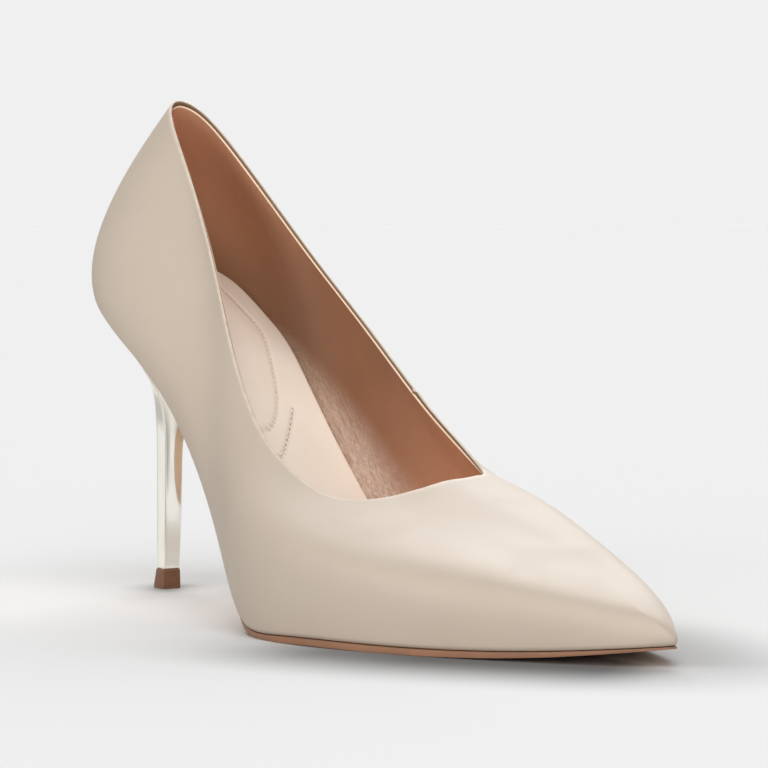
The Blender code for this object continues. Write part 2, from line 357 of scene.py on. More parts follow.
grainGroup, rubGroup, handledGroup = leatherGrainGroup(), edgeRubGroup(), handlingGroup()
toneRange = (0.3, 0.7)  # stretch of the drift noise that runs from a deep tone to a pale one


def useGroup(tree, group, **values):
    made = node(tree, "ShaderNodeGroup", node_tree=group)
    for name, value in values.items():
        feed(tree, made.inputs[name], value)
    return made.outputs


def newMaterial(name, plain):
    material = bpy.data.materials.new(name)
    material.use_nodes = True
    shader = setInput(material.node_tree.nodes["Principled BSDF"], **plain)
    return material, material.node_tree, shader


def bumpInto(tree, shader, height, distance, strength):
    bump = setInput(node(tree, "ShaderNodeBump"), Distance=distance, Strength=strength)
    tree.links.new(height, bump.inputs["Height"])
    tree.links.new(bump.outputs["Normal"], shader.inputs["Normal"])


def startFinish(name, piece, ground):  # a material whose ground colour drifts between two tones
    material, tree, _ = newMaterial(name, piece["plain"])
    grain = useGroup(tree, grainGroup, **piece["grain"])
    handled = useGroup(tree, handledGroup, **piece["handled"])
    tone = mapRange(tree, grain["Tone"], *toneRange)
    return material, tree, grain, handled, mixColor(tree, tone, piece[ground + "Deep"], piece[ground])


def tintMarks(tree, piece, color, *marks):  # each mark brings in the piece's colour of the same name
    for mark in marks:
        color = mixColor(tree, markOf(tree, mark), color, piece[mark])
    return color


def endFinish(material, piece, color, height, *masks):  # each mask with how much it roughens
    tree = material.node_tree
    shader = tree.nodes["Principled BSDF"]
    tree.links.new(color, shader.inputs["Base Color"])
    gloss = piece["gloss"]
    for mask, amount in masks:
        gloss = addScaled(tree, gloss, mask, amount)
    tree.links.new(gloss, shader.inputs["Roughness"])
    bumpInto(tree, shader, height, *piece["bump"])
    return material


print("groups ready")

# upper leather
upperSkin = {
    "rowStep": 1 / 18, "fineStep": 1 / 80, "fineRows": (14.1, 16.15), "ribRows": 64,
    "foldRadius": 0.5, "foldPoints": 11, "foldDepth": 2.6, "tuckRows": 6,
    "edgeRadius": 0.7, "corner": (0.2, 0.22),  # shares of the radius, inward and up
    "underIn": 0.75, "underRows": 4, "underGap": 0.05,
    "edgeDrop": 0.4, "dropX": (85.0, 130.0),  # how far the edge hugs the sole under the forefoot
    "underReach": [(47.0, 8.0), (120.0, 8.0), (150.0, 5.0), (225.0, 2.0), (237.0, 0.8)],
    "seam": (14.38, 1.0, 0.56),  # row at the bottom edge, then how it leans forward with height
    "seamPoints": 60, "seamDepth": 0.3, "seamWidth": 0.42, "seamLine": 0.32, "seamDark": 0.9,
    "lapHeight": 0.22, "lapStart": (0.1, 0.9), "lapReach": 3.5,
    "toeRidge": [(0.1, 0.0), (0.34, 0.03), (0.38, 0.062), (0.37, 0.11), (0.25, 0.154), (-0.06, 0.25)],
    "ridgeHeight": 0.75, "ridgeWidth": 2.6, "ridgeFade": (0.03, 0.24),
    # fold: pale colour on the outer half of the topline fold, partly edge wear and partly a painted highlight
    "body": (0.50, 0.42, 0.341), "bodyDeep": (0.477, 0.397, 0.319), "fold": (0.66, 0.55, 0.44),
    # inside: the fold's inner face and the tuck painted dark, as painted shade; underShade: the leather
    # turned under the edge painted darker, as painted shade
    "foldInsideShade": (0.17, 0.10, 0.055), "line": (0.045, 0.03, 0.022), "underShade": 0.12, "poreDark": 0.12,
    "plain": {"Specular IOR Level": 0.45}, "grain": {"Pores": 3200.0, "Creases": 1500.0, "Drift": 26.0},
    "handled": {"Smudge": 48.0, "Dust": 6500.0}, "rub": {"Breakup": 500.0, "Amount": 0.85},
    "gloss": 0.51, "smudgeDull": 0.06, "poreDull": -0.03, "bump": (0.00006, 0.35),
}


def leatherMaterial():
    material, tree, grain, handled, color = startFinish("upperLeather", upperSkin, "body")
    rub = useGroup(tree, rubGroup, Edge=markOf(tree, "fold"), **upperSkin["rub"])
    between = math2(tree, "MULTIPLY", math2(tree, "SUBTRACT", 1.0, grain["Pore"]), upperSkin["poreDark"])
    color = mixColor(tree, between, color, upperSkin["bodyDeep"])
    # pale fold colour: partly edge wear, partly a painted highlight
    color = mixColor(tree, rub["Mask"], color, upperSkin["fold"])
    # the fold's inner face painted dark as painted shade; the line mark darkens the seam and paints shade on
    # the leather turned under
    color = tintMarks(tree, upperSkin, color, "foldInsideShade", "line")
    smudge, pore = (handled["Smudge"], upperSkin["smudgeDull"]), (grain["Pore"], upperSkin["poreDull"])
    return endFinish(material, upperSkin, color, grain["Height"], smudge, pore)


def seamAt(share):
    start, lean, curl = upperSkin["seam"]
    return start + lean * share + curl * share ** 2


def edgeDrop(x):
    return upperSkin["edgeDrop"] * smoothStep(*upperSkin["dropX"], x)


def upperRelief(at, skin, climbed):  # ridge beside the toe, sunken seam and the lap in front of it
    flat, shape = skin.reshape(-1, 3), skin.shape[:2]
    climb = np.linspace(0, 1, upperSkin["seamPoints"])
    fromSeam = pathDistance(flat, surfacePath(seamAt(climb), climb))[0].reshape(shape)
    fromRidge = pathDistance(flat, surfacePath(*zip(*upperSkin["toeRidge"])))[0].reshape(shape)
    fade = 1 - smoothStep(*upperSkin["ridgeFade"], climbed)
    lift = upperSkin["ridgeHeight"] * np.exp(-fromRidge / upperSkin["ridgeWidth"]) * fade
    lift -= upperSkin["seamDepth"] * np.exp(-(fromSeam / upperSkin["seamWidth"]) ** 2)
    ahead = at[:, None] > seamAt(climbed)
    lap = np.exp(-(fromSeam / upperSkin["lapReach"]) ** 2) * smoothStep(*upperSkin["lapStart"], fromSeam)
    return lift + upperSkin["lapHeight"] * ahead * lap, fromSeam


def upperUnder(at):  # the leather turned in under the foot, and the rounded corner that leads to it
    edge, edgeOut = edgeLoop(at)
    radius = upperSkin["edgeRadius"]
    reach = np.interp(edge[:, 0], *zip(*upperSkin["underReach"]))
    under = []
    for share in np.linspace(1, 0, upperSkin["underRows"]):
        moved = edge[:, :2] - edgeOut * (radius * upperSkin["underIn"] + share * reach)[:, None]
        height = bottomHeight(moved[:, 0]) - upperSkin["underGap"] - edgeDrop(moved[:, 0])
        under.append(np.column_stack([moved, height]))
    inward, upward = upperSkin["corner"]
    height = edge[:, 2] + radius * upward - edgeDrop(edge[:, 0])
    corner = np.column_stack([edge[:, :2] - edgeOut * radius * inward, height])
    return np.stack(under + [corner], 1)


def makeUpper():
    at = columnRows(upperSkin)
    ribs = ribCurves(at)
    length = ribLengths(ribs)[:, -1]
    radius, edgeRadius = upperSkin["foldRadius"], upperSkin["edgeRadius"]
    shares = np.linspace(0, 1, upperSkin["ribRows"])
    distances = edgeRadius + shares[None] * (length - radius - edgeRadius)[:, None]
    skin = alongRibs(ribs, distances)
    normals = gridNormals(skin)
    lift, fromSeam = upperRelief(at, skin, distances / length[:, None])
    skin = skin + normals * lift[:, :, None]
    top, out = skin[:, -1], normals[:, -1]
    rise = unit(skin[:, -1] - skin[:, -3])
    turn = np.linspace(0, math.pi, upperSkin["foldPoints"])[1:, None]
    bent = out[:, None] * np.cos(turn) + rise[:, None] * np.sin(turn)
    fold = (top - out * radius)[:, None] + radius * bent
    down = np.linspace(0, upperSkin["foldDepth"], upperSkin["tuckRows"])[1:]
    tuck = alongRibs(ribs, (length - radius)[:, None] - down[None]) - out[:, None] * 2 * radius
    under = upperUnder(at)
    grid = np.concatenate([under, skin, fold, tuck], axis=1)
    columns, rows = grid.shape[:2]
    first, skinEnd = under.shape[1], under.shape[1] + skin.shape[1]
    crest = skinEnd + upperSkin["foldPoints"] // 2
    foldWearAndHighlight, foldInsideShade, line = np.zeros((3, columns, rows))
    # outer half of the fold: edge wear and a painted highlight
    foldWearAndHighlight[:, skinEnd - 1:crest] = 1.0
    # inner half of the fold and the tuck: painted shade
    foldInsideShade[:, crest:] = 1.0
    line[:, first:skinEnd] = np.exp(-(fromSeam / upperSkin["seamLine"]) ** 4) * upperSkin["seamDark"]
    # the leather turned in under the edge, between upper and sole, painted darker: painted shade
    line[:, :first] = upperSkin["underShade"]
    makePiece("upper_leather", grid, gridFaces(columns, rows, True, False), leatherMaterial(),
              "upper", {"fold": foldWearAndHighlight, "foldInsideShade": foldInsideShade, "line": line})


makeUpper()

# lining
lining = {
    "rowStep": 1 / 22, "fineStep": 1 / 62, "fineRows": (12.9, 15.6),
    "lowRows": 84, "lowShare": 0.42, "highRows": 40,
    "dropSides": 0.95, "dropBack": 1.7, "backRows": 0.75, "wallTop": 1.5, "wall": 1.7,
    "ledgeIn": 0.95,
    "ledge": [(1.0, 0.1), (0.93, 0.2), (0.75, 0.27), (0.4, 0.29), (0.0, 0.22)],  # share inward, mm up
    "bulge": [  # rows away from the back of the heel, how far the stiffened foot of the wall stands inwards
        (0.0, 0.0), (0.9, 0.5), (1.3, 2.4), (1.7, 3.6), (2.0, 3.5), (2.4, 2.0),
        (2.8, 1.1), (3.4, 1.2), (4.5, 0.9), (6.5, 0.4), (8.5, 0.1), (11.0, 0.0),
    ],
    "bulgeHeight": 9.0,
    "creases": [  # start row and mm up, end row and mm up, height, width
        (13.12, 1.6, 13.50, 4.4, 0.20, 0.45), (13.20, 3.2, 13.62, 5.2, 0.14, 0.40),
        (13.26, 5.2, 13.72, 3.6, 0.13, 0.42), (13.45, 2.4, 14.00, 4.6, 0.10, 0.50),
        (13.60, 6.6, 14.25, 5.4, 0.10, 0.45), (13.85, 4.2, 14.40, 9.4, 0.08, 0.50),
        (14.05, 2.2, 14.60, 3.8, 0.09, 0.50), (14.20, 9.0, 14.90, 6.4, 0.08, 0.55),
        (14.40, 5.0, 14.95, 10.5, 0.08, 0.50), (14.75, 3.0, 15.30, 5.6, 0.08, 0.55),
        (14.90, 11.0, 15.45, 8.0, 0.07, 0.50), (15.00, 9.0, 15.55, 15.5, 0.06, 0.55),
    ],
    "creasePoints": 28, "creaseFade": (0.3, 0.6), "waver": 0.7,
    "pale": [  # row, how pale the rubbed leather beside the insole is, how many mm up it reaches
        (13.1, 0.0, 3.0), (13.5, 0.4, 4.0), (13.9, 0.65, 7.0), (14.3, 0.85, 12.0), (14.8, 1.0, 18.0),
        (15.4, 1.0, 22.0), (16.0, 0.7, 21.0), (16.6, 0.3, 17.0), (17.3, 0.0, 12.0),
    ],
    "paleFade": (0.1, 1.3), "frontX": (92.0, 148.0), "upperRows": (0.8, 3.7),
    # crevice: painted shade low on the wall at the back of the heel, along the insole
    "creviceRows": (2.6, 4.3), "creviceHeight": 15.5, "creviceDark": 0.8,
    # front and upper: painted light, the lining lighter towards the throat and at the back of the heel, where
    # more light reaches
    "brown": (0.305, 0.133, 0.068), "brownDeep": (0.272, 0.118, 0.06), "front": (0.78, 0.35, 0.19),
    "upper": (0.705, 0.362, 0.213), "rubbed": (0.76, 0.57, 0.45), "edge": (0.84, 0.62, 0.44),
    # trough: painted shade in the hollow beside each crease
    "creviceShade": (0.19, 0.095, 0.046), "creaseShade": (0.22, 0.11, 0.07),
    "plain": {"Specular IOR Level": 0.35}, "grain": {"Pores": 2400.0, "Creases": 1100.0, "Drift": 40.0},
    "handled": {"Smudge": 70.0, "Dust": 5000.0}, "gloss": 0.44, "smudgeDull": 0.1, "bump": (0.00008, 0.45),
    "nap": {"Scale": 1.0, "Detail": 6.0, "Roughness": 0.7, "Distortion": 1.6}, "napRelief": 2.4,
    "napScale": [("X", "around", 0.3), ("Y", "climb", 0.95)],  # drawn out along the wall
}


def liningMaterial():
    material, tree, grain, handled, color = startFinish("liningLeather", lining, "brown")
    place = node(tree, "ShaderNodeCombineXYZ")
    for axis, mark, scale in lining["napScale"]:
        tree.links.new(math2(tree, "MULTIPLY", markOf(tree, mark), scale), place.inputs[axis])
    nap = setInput(node(tree, "ShaderNodeTexNoise"), **lining["nap"])
    tree.links.new(place.outputs["Vector"], nap.inputs["Vector"])
    streak = mapRange(tree, nap.outputs["Fac"], 0.36, 0.66)
    pale = markOf(tree, "pale")
    # front and upper tints: painted light
    color = tintMarks(tree, lining, color, "front", "upper", "creviceShade")
    rubbed = math2(tree, "MULTIPLY", pale, mapRange(tree, streak, 0.0, 1.0, 0.5, 1.0))
    color = mixColor(tree, rubbed, color, lining["rubbed"])
    # trough: painted shade beside the creases
    color = tintMarks(tree, lining, color, "creaseShade", "edge")
    height = addScaled(tree, grain["Height"], math2(tree, "MULTIPLY", streak, pale), lining["napRelief"])
    return endFinish(material, lining, color, height, (handled["Smudge"], lining["smudgeDull"]))


def liningCreases(skin):  # soft wrinkles near the insole, fading at both ends
    flat = skin.reshape(-1, 3)
    lift, creaseShade = np.zeros((2, len(flat)))
    steps = np.linspace(0, 1, lining["creasePoints"])
    fadeIn, fadeOut = lining["creaseFade"]
    for k, (startRow, startUp, endRow, endUp, height, width) in enumerate(lining["creases"]):
        rows = startRow + (endRow - startRow) * steps
        waver = lining["waver"] * (np.sin(6 * steps + 1.9 * k) + 0.5 * np.sin(15 * steps + 2.7 * k))
        climb = (startUp + (endUp - startUp) * steps + waver) / ribLengths(ribCurves(rows))[:, -1]
        away, where = pathDistance(flat, surfacePath(rows, np.maximum(climb, 0.005)))
        fade = smoothStep(0.0, fadeIn, where) * (1 - smoothStep(fadeOut, 1.0, where))
        lift += fade * height * (np.exp(-(away / width) ** 2) - 0.55 * np.exp(-(away / width / 2) ** 2))
        # painted shade in the hollow beside each crease
        beside = np.exp(-((away - 1.5 * width) / (0.55 * width)) ** 2)
        creaseShade = np.maximum(creaseShade, 1.6 * height * fade * beside)
    return lift.reshape(skin.shape[:2]), creaseShade.reshape(skin.shape[:2])


def liningMarks(at, grid, climb, edge, creaseShade):
    names = "edge", "pale", "front", "upper", "creviceShade", "creaseShade", "around", "climb"
    marks = {name: np.zeros(grid.shape[:2]) for name in names}
    skinRows = climb.shape[1]
    fromHeel = np.abs(at - heelRow)[:, None]
    marks["edge"][:, skinRows:] = 1.0
    paleRow, paleAmount, paleReach = zip(*lining["pale"])
    faded = 1 - smoothStep(*lining["paleFade"], climb / np.interp(at, paleRow, paleReach)[:, None])
    marks["pale"][:, :skinRows] = np.interp(at, paleRow, paleAmount)[:, None] * faded
    # painted light: lining lighter towards the throat and at the back of the heel
    marks["front"][:] = smoothStep(*lining["frontX"], grid[:, :, 0])
    marks["upper"][:] = 1 - smoothStep(*lining["upperRows"], fromHeel)
    # painted shade low on the wall at the back of the heel
    low = lining["creviceDark"] * np.exp(-(climb / lining["creviceHeight"]) ** 2)
    marks["creviceShade"][:, :skinRows] = (1 - smoothStep(*lining["creviceRows"], fromHeel)) * low
    marks["creaseShade"][:, :skinRows] = creaseShade
    steps = np.linalg.norm(np.diff(edge, axis=0, prepend=edge[:1]), axis=1)
    marks["around"][:] = np.cumsum(steps)[:, None]
    marks["climb"][:, :skinRows] = climb
    return marks


def makeLining():
    at = columnRows(lining)
    ribs = ribCurves(at)
    length = ribLengths(ribs)[:, -1]
    low = np.linspace(0, lining["lowShare"], lining["lowRows"])
    shares = np.concatenate([low, np.linspace(lining["lowShare"], 1, lining["highRows"])[1:]])
    fromHeel = np.abs(at - heelRow)
    atBack = np.exp(-(fromHeel / lining["backRows"]) ** 2)
    topDrop = lining["dropSides"] + (lining["dropBack"] - lining["dropSides"]) * atBack
    climb = shares[None] * (length - topDrop)[:, None]
    skin = alongRibs(ribs, climb)
    normals = gridNormals(skin)
    bulge = naturalSpline(*zip(*lining["bulge"]), fromHeel)
    depth = lining["wall"] + (lining["wallTop"] - lining["wall"]) * climb / length[:, None]
    depth += bulge[:, None] * np.exp(-(climb / lining["bulgeHeight"]) ** 2)
    lift, creaseShade = liningCreases(skin)
    inner = skin - normals * (depth + lift)[:, :, None]
    edge, edgeOut = edgeLoop(at)
    foot = edge[:, :2] - edgeOut * (lining["wall"] + bulge)[:, None]
    inner[:, 0] = np.column_stack([foot, bottomHeight(foot[:, 0])])
    top, out = skin[:, -1], normals[:, -1]
    rise = unit(skin[:, -1] - skin[:, -3])
    ledge = []
    for inward, up in lining["ledge"]:
        across = lining["ledgeIn"] + (lining["wallTop"] - lining["ledgeIn"]) * inward
        ledge.append(top - out * across + rise * up)
    grid = np.concatenate([inner, np.stack(ledge, 1)], axis=1)
    makePiece("upper_lining", grid, gridFaces(*grid.shape[:2], True, True), liningMaterial(),
              None, liningMarks(at, grid, climb, edge, creaseShade))


makeLining()


# soles: stations along the shoe, each a closed cross-section with rounded edges
sole = {"sidePoints": 700, "edgePoints": 5, "leastHalf": 0.05, "endGap": 1e-4}


def sideCurves(distance):  # outer and inner outline in plan, moved out by a distance table
    sides = []
    for start in (0, rowCount):
        edge, edgeOut = edgeLoop(np.linspace(start, heelRow, sole["sidePoints"]))
        moved = edge[:, :2] + edgeOut * naturalSpline(*zip(*distance), edge[:, 0])[:, None]
        order = np.argsort(moved[:, 0])
        sides.append((moved[order, 0], moved[order, 1]))
    return sides


def soleLoft(distance, stations, across, top, under, radius, squareBack=None):
    outer, inner = sideCurves(distance)
    low, high = max(outer[0][0], inner[0][0]), min(outer[0][-1], inner[0][-1])
    if squareBack:
        low = squareBack
        x = low + (high - low) * np.sin(np.linspace(0, math.pi / 2, stations))
    else:
        x = low + (high - low) * (1 - np.cos(np.linspace(0, math.pi, stations))) / 2
    x = np.clip(x, low + sole["endGap"], high - sole["endGap"])
    outerY, innerY = np.interp(x, *outer), np.interp(x, *inner)
    middle, half = (outerY + innerY) / 2, np.maximum((innerY - outerY) / 2, sole["leastHalf"])
    turn = np.linspace(0, math.pi / 2, sole["edgePoints"])
    v = np.linspace(-1, 1, across)
    rings = []
    for k in range(stations):
        zTop, zUnder = float(top(x[k])), float(under(x[k]))
        r = min(radius, half[k] * 0.8, (zTop - zUnder) * 0.45)
        flat = half[k] - r
        upper = [(flat * s, zTop) for s in v]
        right = [(flat + r * math.sin(a), zTop - r + r * math.cos(a)) for a in turn[1:]]
        right += [(flat + r * math.cos(a), zUnder + r - r * math.sin(a)) for a in turn]
        lower = [(flat * s, zUnder) for s in v[::-1]]
        left = [(-y, z) for y, z in reversed(right)]
        ring = upper + right + lower[1:-1] + left
        rings.append([(x[k], middle[k] + y, z) for y, z in ring])
    return np.array(rings), x, middle, half


# insole
insole = {
    "inset": [  # x, how far the edge lies inside the bottom edge of the upper
        (13.0, -2.2), (20.5, -2.7), (27.0, -4.3), (34.5, -5.4), (40.0, -5.3), (50.0, -3.9),
        (63.0, -3.1), (82.0, -3.2), (114.0, -2.9), (170.0, -2.5), (240.0, -2.15),
    ],
    "thickness": 2.4, "underGap": 0.05, "heelLift": 2.0, "heelLiftX": (14.0, 46.0),
    "stations": 360, "across": 111, "edgeRadius": 0.9, "rim": 1.5,
    "middle": [(40.0, 0.0), (70.0, -2.2), (100.0, -1.8)],
    "padSide": [
        (17.6, 0.0), (19.6, 6.6), (23.4, 11.2), (28.0, 13.6), (33.0, 15.2), (38.7, 16.1), (44.0, 16.7),
        (48.5, 16.5), (53.0, 15.3), (58.2, 13.4), (63.0, 11.4), (68.0, 9.3), (72.6, 7.1), (76.4, 4.6),
        (79.2, 1.9), (80.8, -0.7), (81.2, -2.1),
    ],
    "arcSide": [(76.0, 10.2), (78.6, 8.1), (81.2, 5.8), (83.9, 3.2), (86.3, 0.5), (87.4, -2.0)],
    "linePoints": 16, "padLift": 0.5, "padSlope": 5.0,
    "grooveDepth": 0.34, "grooveWidth": 0.7, "grooveLine": 0.32, "grooveDark": 0.6,
    "firstStitch": 0.3, "stitchLength": 1.3, "stitchGap": 0.8, "stitchUp": 0.08,
    "threadPoints": 7, "threadSides": 8, "threadRadius": 0.18, "threadBow": 0.15, "threadSink": 0.08,
    "pit": 0.2, "pitStretch": 1.3,
    "pitRings": [(1.0, 0.02), (0.7, 0.06), (0.3, 0.08)],  # share of the pit's radius, mm up
    "body": (0.93, 0.82, 0.70), "bodyDeep": (0.90, 0.78, 0.655), "groove": (0.42, 0.29, 0.21),
    "thread": (0.86, 0.78, 0.68), "threadDeep": (0.70, 0.60, 0.50),
    # hole: dark needle pits, painted shade standing in for the needle holes
    "hole": (0.16, 0.10, 0.07), "holeDeep": (0.08, 0.05, 0.035),
    "plain": {"Specular IOR Level": 0.35}, "grain": {"Pores": 2200.0, "Creases": 900.0, "Drift": 34.0},
    "handled": {"Smudge": 55.0, "Dust": 4800.0}, "gloss": 0.5, "smudgeDull": 0.08, "bump": (0.00007, 0.4),
    "threadPlain": {"Roughness": 0.7, "Specular IOR Level": 0.2}, "threadBump": (0.00005, 0.6),
    "threadGrain": {"Pores": 9000.0, "Creases": 5200.0, "Drift": 300.0},
}


def insoleTop(x):
    raised = 1 - smoothStep(*insole["heelLiftX"], x)
    return bottomHeight(x) + insole["thickness"] + insole["heelLift"] * raised


def insoleUnder(x):
    return bottomHeight(x) + insole["underGap"]


def insoleMiddle(x):
    return np.interp(x, *zip(*insole["middle"]))


def mirrored(side):  # a line on the inner side, with its twin across the middle of the insole
    side = np.array(side)
    twin = side[::-1].copy()
    twin[:, 1] = 2 * insoleMiddle(twin[:, 0]) - twin[:, 1]
    return np.concatenate([side, twin[1:]])


def stitchPaths():
    points = insole["linePoints"]
    pad = mirrored(insole["padSide"])[:-1]
    pad = closedSpline(pad, np.linspace(0, len(pad), len(pad) * points))
    arc = mirrored(insole["arcSide"])
    place, at = np.arange(len(arc)), np.linspace(0, len(arc) - 1, len(arc) * points)
    return [pad, np.column_stack([naturalSpline(place, arc[:, k], at) for k in range(2)])]


def insoleMaterial():
    material, tree, grain, handled, color = startFinish("insoleLeather", insole, "body")
    color = tintMarks(tree, insole, color, "groove")
    return endFinish(material, insole, color, grain["Height"], (handled["Smudge"], insole["smudgeDull"]))


def makeInsole(paths):
    across = insole["across"]
    rings, x, middle, half = soleLoft(insole["inset"], insole["stations"], across, insoleTop, insoleUnder,
                                      insole["edgeRadius"])
    top = rings[:, :across].reshape(-1, 3)
    nearest = np.minimum(*[pathDistance(top[:, :2], path)[0] for path in paths])
    side = np.array(insole["padSide"])
    padHalf = np.interp(top[:, 0], side[:, 0], side[:, 1] - insoleMiddle(side[:, 0]), left=0.0, right=0.0)
    within = padHalf - np.abs(top[:, 1] - insoleMiddle(top[:, 0]))
    lift = insole["padLift"] * smoothStep(0.0, insole["padSlope"], within)
    groove = insole["grooveDepth"] * np.exp(-(nearest / insole["grooveWidth"]) ** 2)
    inset = np.repeat(half, across) - np.abs(top[:, 1] - np.repeat(middle, across))
    top[:, 2] += (lift - groove) * smoothStep(0.0, insole["rim"], inset)
    rings[:, :across] = top.reshape(len(x), across, 3)
    marks = np.zeros(rings.shape[:2])
    dark = insole["grooveDark"] * np.exp(-(nearest / insole["grooveLine"]) ** 2)
    marks[:, :across] = dark.reshape(len(x), across)
    sock = makePiece("insole_sock", rings, ringFaces(*rings.shape[:2]), insoleMaterial(),
                     "insole", {"groove": marks})


def threadMaterial(name):
    material, tree, shader = newMaterial(name, insole["threadPlain"])
    grain = useGroup(tree, grainGroup, **insole["threadGrain"])
    tint = mixColor(tree, mapRange(tree, grain["Height"], 0.3, 0.8), insole[name + "Deep"], insole[name])
    tree.links.new(tint, shader.inputs["Base Color"])
    bumpInto(tree, shader, grain["Height"], *insole["threadBump"])
    return material


def stitchTubes(path):  # one bowed thread and one needle pit for each stitch along the path
    steps = np.linalg.norm(np.diff(path, axis=0), axis=1)
    length = np.concatenate([[0], np.cumsum(steps)])
    pitch = length[-1] / round(length[-1] / (insole["stitchLength"] + insole["stitchGap"]))
    points, sides = insole["threadPoints"], insole["threadSides"]
    ring = np.linspace(0, 2 * math.pi, sides + 1)[:-1]
    bow = np.sin(np.linspace(0, math.pi, points)) * insole["threadBow"] - insole["threadSink"]
    girth = insole["threadRadius"] * (0.35 + 0.65 * np.sin(np.linspace(0.12, math.pi - 0.12, points)) ** 0.5)
    threads, pits = [], []
    for start in np.arange(insole["firstStitch"], length[-1] - pitch / 2, pitch):
        at = start + np.linspace(0, insole["stitchLength"], points)
        line = np.column_stack([np.interp(at, length, path[:, k]) for k in range(3)])
        along = unit(np.gradient(line, axis=0))
        side = unit(np.cross(along, [0, 0, 1]))
        up = np.cross(side, along)
        around = side[:, None] * np.cos(ring)[None, :, None] + up[:, None] * np.sin(ring)[None, :, None]
        threads.append((line + up * bow[:, None])[:, None] + girth[:, None, None] * around)
        # each pit is a small dark dome, painted shade where the needle hole is
        hole = line[0] - along[0] * insole["stitchGap"] / 2
        disc = []
        for share, rise in insole["pitRings"]:
            r = insole["pit"] * share
            ahead, beside = along[0] * r * insole["pitStretch"], side[0] * r
            disc += [ahead * math.cos(a) + beside * math.sin(a) + up[0] * rise for a in ring]
        pits.append((hole + np.array(disc)).reshape(-1, sides, 3))
    return threads, pits


def makeStitches(paths):
    threads = []
    for path in paths:
        height = insoleTop(path[:, 0]) - insole["grooveDepth"] + insole["stitchUp"]
        made, pits = stitchTubes(np.column_stack([path, height]))
        threads += made  # needle pits show only along the front arc, the last path
    for name, tubes, color in (("insole_thread", threads, "thread"), ("insole_needle_hole_shade", pits, "hole")):
        faces = []
        for k, tube in enumerate(tubes):
            faces += ringFaces(*tube.shape[:2], k * tube.shape[0] * tube.shape[1])
        makePiece(name, np.concatenate(tubes), faces, threadMaterial(color))


sewn = stitchPaths()
makeInsole(sewn)
makeStitches(sewn)

# outsole
outsole = {
    "edge": [  # x, how far the edge stands out from the bottom edge of the upper
        (47.0, -3.0), (72.0, -2.6), (104.0, -1.9), (122.0, -0.9), (135.0, -0.1), (150.0, 0.3),
        (208.0, 0.4), (240.0, 0.1),
    ],
    "under": [  # x, thickness of the sole measured from the bottom edge of the upper
        (47.0, 1.7), (72.0, 1.8), (104.0, 2.0), (127.0, 2.3), (180.0, 2.3), (200.0, 2.15), (215.0, 1.9),
        (228.0, 1.5), (240.0, 1.05),
    ],
    "topGap": 0.2, "back": 47.3, "stations": 320, "across": 61, "edgeRadius": 0.3,
    "lineAt": [(0, 0.8), (1, 0.5), (2, 0.15)],  # point down the side, strength
    "bevelAt": [(6, 0.5), (7, 0.9), (8, 1.0)],
    "tan": (0.285, 0.138, 0.074), "tanDeep": (0.225, 0.106, 0.056), "line": (0.15, 0.08, 0.047),
    "bevel": (0.44, 0.27, 0.17), "tread": (0.80, 0.57, 0.41),
    "plain": {"Specular IOR Level": 0.4}, "grain": {"Pores": 1800.0, "Creases": 1300.0, "Drift": 60.0},
    "handled": {"Smudge": 110.0, "Dust": 3800.0}, "rub": {"Breakup": 900.0, "Amount": 0.7},
    "gloss": 0.4, "smudgeDull": 0.2, "bump": (0.00009, 0.4),
}


def soleTop(x):
    return bottomHeight(x) - outsole["topGap"] - edgeDrop(x)


def soleUnder(x):
    return np.maximum(bottomHeight(x) - np.interp(x, *zip(*outsole["under"])), 0.0)


def soleMaterial():
    material, tree, grain, handled, color = startFinish("outsoleTan", outsole, "tan")
    rub = useGroup(tree, rubGroup, Edge=markOf(tree, "bevel"), **outsole["rub"])
    color = tintMarks(tree, outsole, color, "tread")
    color = mixColor(tree, rub["Mask"], color, outsole["bevel"])
    color = tintMarks(tree, outsole, color, "line")
    return endFinish(material, outsole, color, grain["Height"], (handled["Smudge"], outsole["smudgeDull"]))


def makeOutsole():
    across = outsole["across"]
    rings = soleLoft(outsole["edge"], outsole["stations"], across, soleTop, soleUnder,
                     outsole["edgeRadius"], outsole["back"])[0]
    count, ring = rings.shape[:2]
    side = 2 * sole["edgePoints"] - 1
    marks = {name: np.zeros((count, ring)) for name in ("tread", "bevel", "line")}
    marks["tread"][:, across + side:ring - side] = 1.0
    for name in ("line", "bevel"):
        for place, amount in outsole[name + "At"]:
            marks[name][:, [across + place, ring - 1 - place]] = amount
    makePiece("outsole_tan", rings, ringFaces(count, ring), soleMaterial(), "outsole", marks)


makeOutsole()

# plated heel
heel = {
    "rings": [  # back x, back z, front x, front z, half width, squareness of the back
        (22.7, 5.62, 27.3, 5.62, 2.6, 7.0), (22.9, 27.0, 28.5, 26.0, 2.75, 7.0),
        (22.8, 43.0, 28.8, 39.0, 2.9, 6.0), (22.2, 54.0, 29.8, 46.5, 3.7, 4.6),
        (20.9, 65.0, 31.8, 54.5, 6.6, 3.5), (18.4, 76.0, 35.0, 61.0, 12.0, 2.8),
        (15.2, 86.5, 40.6, 68.0, 20.0, 2.5), (13.7, 91.2, 47.0, 72.4, 26.6, 2.4),
    ],
    "steps": 150, "points": 81, "face": 25, "corner": 0.28, "cornerPoints": 5, "seatFrom": 6.76,
    "hollow": 0.7, "hollowFrom": (17.0, 40.0), "hollowTo": (56.0, 72.0),  # of the front face
    "plate": (0.96, 0.935, 0.865), "plateDeep": (0.93, 0.885, 0.775),
    "plain": {"Metallic": 1.0}, "grain": {"Pores": 5200.0, "Creases": 2600.0, "Drift": 90.0},
    "handled": {"Smudge": 130.0, "Dust": 4200.0},
    "gloss": 0.09, "smudgeDull": 0.05, "dustDull": 0.1, "bump": (0.0004, 0.06),
}


